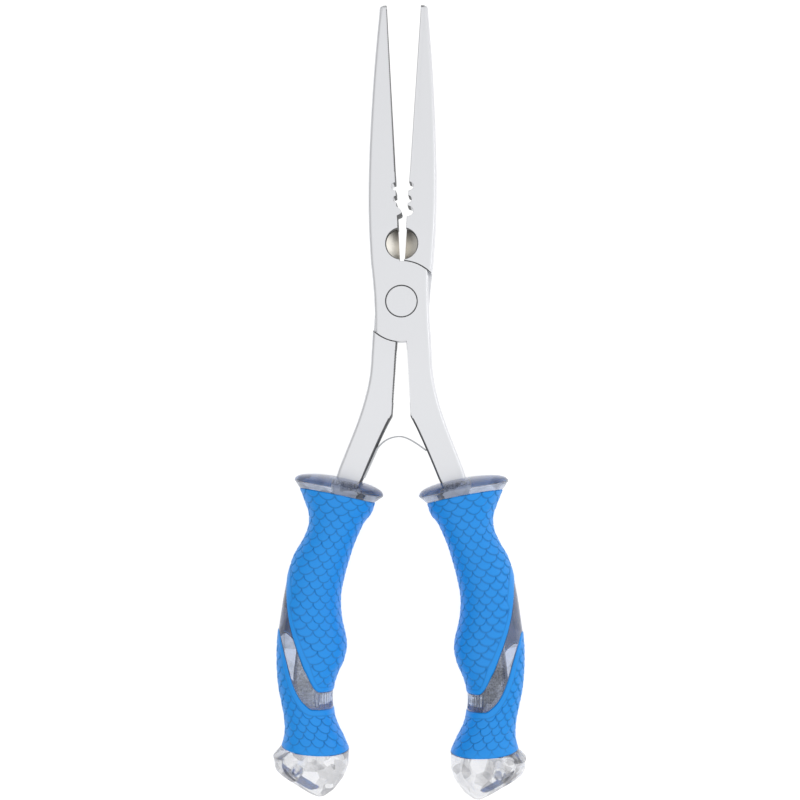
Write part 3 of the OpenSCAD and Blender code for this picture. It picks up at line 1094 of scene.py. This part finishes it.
def build_sky(stage):
    world = bpy.data.worlds.new("studio")
    world.use_nodes = True
    tree = world.node_tree
    place = tree.nodes.new("ShaderNodeTexCoord")
    towards = tree.nodes.new("ShaderNodeVectorMath")
    towards.operation = "DOT_PRODUCT"
    towards.inputs[1].default_value = (0.2, 0.0, 0.98)
    level = tree.nodes.new("ShaderNodeMapRange")
    level.inputs["From Min"].default_value = -0.1
    level.inputs["From Max"].default_value = 0.95
    level.inputs["To Min"].default_value = 0.25 * stage.sky
    level.inputs["To Max"].default_value = stage.sky
    tree.links.new(place.outputs["Generated"], towards.inputs[0])
    tree.links.new(towards.outputs["Value"], level.inputs["Value"])
    background = tree.nodes["Background"]
    background.inputs["Color"].default_value = (1, 1, 1, 1)
    tree.links.new(level.outputs["Result"], background.inputs["Strength"])
    bpy.context.scene.world = world


def build_camera(stage):
    """Looks straight down at the pliers, a little from the right and from below."""
    data = bpy.data.cameras.new("camera")
    data.lens = stage.lens
    data.sensor_width = 36
    data.clip_start = 0.01
    camera = bpy.data.objects.new("camera", data)
    low, high = CAD_BOX
    middle = Vector((low.x + high.x, low.y + high.y, low.z + high.z)) / 2
    target = middle + Vector((-0.00054, -0.0004, 0))
    forward = Vector((
        -math.sin(stage.yaw) * math.cos(stage.pitch),
        -math.sin(stage.pitch),
        -math.cos(stage.yaw) * math.cos(stage.pitch),
    )).normalized()
    right = forward.cross(Vector((0, 1, 0))).normalized()
    up = right.cross(forward)
    axes = Matrix((
        right * math.cos(stage.roll) + up * math.sin(stage.roll),
        up * math.cos(stage.roll) - right * math.sin(stage.roll),
        -forward,
    )).transposed()
    camera.matrix_world = Matrix.Translation(target - forward * stage.distance) @ axes.to_4x4()
    bpy.context.scene.collection.objects.link(camera)
    bpy.context.scene.camera = camera


# ---------------------------------------------------------------- operators


class PLIERS_OT_levers(bpy.types.Operator):
    """Build both levers with rounded edges and cut serrations"""

    bl_idname = "pliers.levers"
    bl_label = "Levers"

    def execute(self, context):
        steel = context.scene.pliers_steel
        finish = material(blasted_steel, steel.steel)
        shaded = material(cut_steel_painted_shade, steel.steel)
        tang = material(raw_tang, steel.steel)
        build_lever("front_lever", "front_half", FRONT, steel, finish, shaded, tang)
        build_lever("back_lever", "back_half", BACK, steel, finish, shaded, tang)
        return {"FINISHED"}


class PLIERS_OT_pin(bpy.types.Operator):
    """Build the riveted pivot pin"""

    bl_idname = "pliers.pin"
    bl_label = "Pivot pin"

    def execute(self, context):
        build_pin(material(blasted_steel, context.scene.pliers_steel.steel))
        return {"FINISHED"}


class PLIERS_OT_cutters(bpy.types.Operator):
    """Build both cutter inserts"""

    bl_idname = "pliers.cutters"
    bl_label = "Cutters"

    def execute(self, context):
        finish = material(ground_carbide, context.scene.pliers_steel.carbide)
        build_cutter("left_cutter", "front_half", FRONT, finish)
        build_cutter("right_cutter", "back_half", BACK, finish)
        return {"FINISHED"}


class PLIERS_OT_spring(bpy.types.Operator):
    """Build the leaf spring as one strip, curved at its root"""

    bl_idname = "pliers.spring"
    bl_label = "Leaf spring"

    def execute(self, context):
        build_spring(material(rolled_strip, context.scene.pliers_steel.spring))
        return {"FINISHED"}


class PLIERS_OT_cores(bpy.types.Operator):
    """Build the clear core of each handle"""

    bl_idname = "pliers.cores"
    bl_label = "Clear cores"

    def execute(self, context):
        handle = context.scene.pliers_handle
        finish = material(polished_clear, handle.clear, handle.deep)
        for body, (place, side) in HALVES.items():
            build_core(body, place, side, finish)
        return {"FINISHED"}


class PLIERS_OT_grips(bpy.types.Operator):
    """Build the scaled grips of each handle"""

    bl_idname = "pliers.grips"
    bl_label = "Scaled grips"

    def execute(self, context):
        handle = context.scene.pliers_handle
        finish = material(scaled_rubber, handle.rubber)
        for body, (place, side) in HALVES.items():
            for band, rows in GRIP_ROWS.items():
                build_grip(band, rows, body, place, side, handle, finish)
        return {"FINISHED"}


class PLIERS_OT_stage(bpy.types.Operator):
    """Build the floor, the lights and the camera"""

    bl_idname = "pliers.stage"
    bl_label = "Stage"

    def execute(self, context):
        stage = context.scene.pliers_stage
        build_floor(stage)
        build_sky(stage)
        build_light("key", stage.key, 0.3, (0.6, 0.15, 0.3), (0, 0, 0))
        build_light("fill", stage.key * 0.3, 0.3, (-0.2, -0.3, 0.6), (0, 0, 0))
        build_camera(stage)
        context.scene.view_settings.view_transform = "Standard"
        return {"FINISHED"}


class PLIERS_PT_pieces(bpy.types.Panel):
    """Lists the pieces in the order in which they are built"""

    bl_label = "Fishing pliers"
    bl_idname = "PLIERS_PT_pieces"
    bl_space_type = "VIEW_3D"
    bl_region_type = "UI"
    bl_category = "Pliers"

    def draw(self, context):
        for group in (getattr(context.scene, name) for name in GROUPS):
            box = self.layout.box()
            for name in group.bl_rna.properties.keys():
                if name not in ("rna_type", "name"):
                    box.prop(group, name)
        for operator in OPERATORS:
            self.layout.operator(operator.bl_idname)


OPERATORS = (
    PLIERS_OT_levers, PLIERS_OT_pin, PLIERS_OT_cutters, PLIERS_OT_spring, PLIERS_OT_cores,
    PLIERS_OT_grips, PLIERS_OT_stage,
)
GROUPS = {
    "pliers_steel": SteelSettings, "pliers_handle": HandleSettings, "pliers_stage": StageSettings,
}
CLASSES = (*GROUPS.values(), *OPERATORS, PLIERS_PT_pieces)


def register():
    for each in CLASSES:
        bpy.utils.register_class(each)
    for name, group in GROUPS.items():
        setattr(bpy.types.Scene, name, PointerProperty(type=group))


def unregister():
    for name in GROUPS:
        delattr(bpy.types.Scene, name)
    for each in reversed(CLASSES):
        bpy.utils.unregister_class(each)


def main():
    register()
    for operator in OPERATORS:
        group, name = operator.bl_idname.split(".")
        getattr(getattr(bpy.ops, group), name)()


if __name__ == "__main__":
    main()
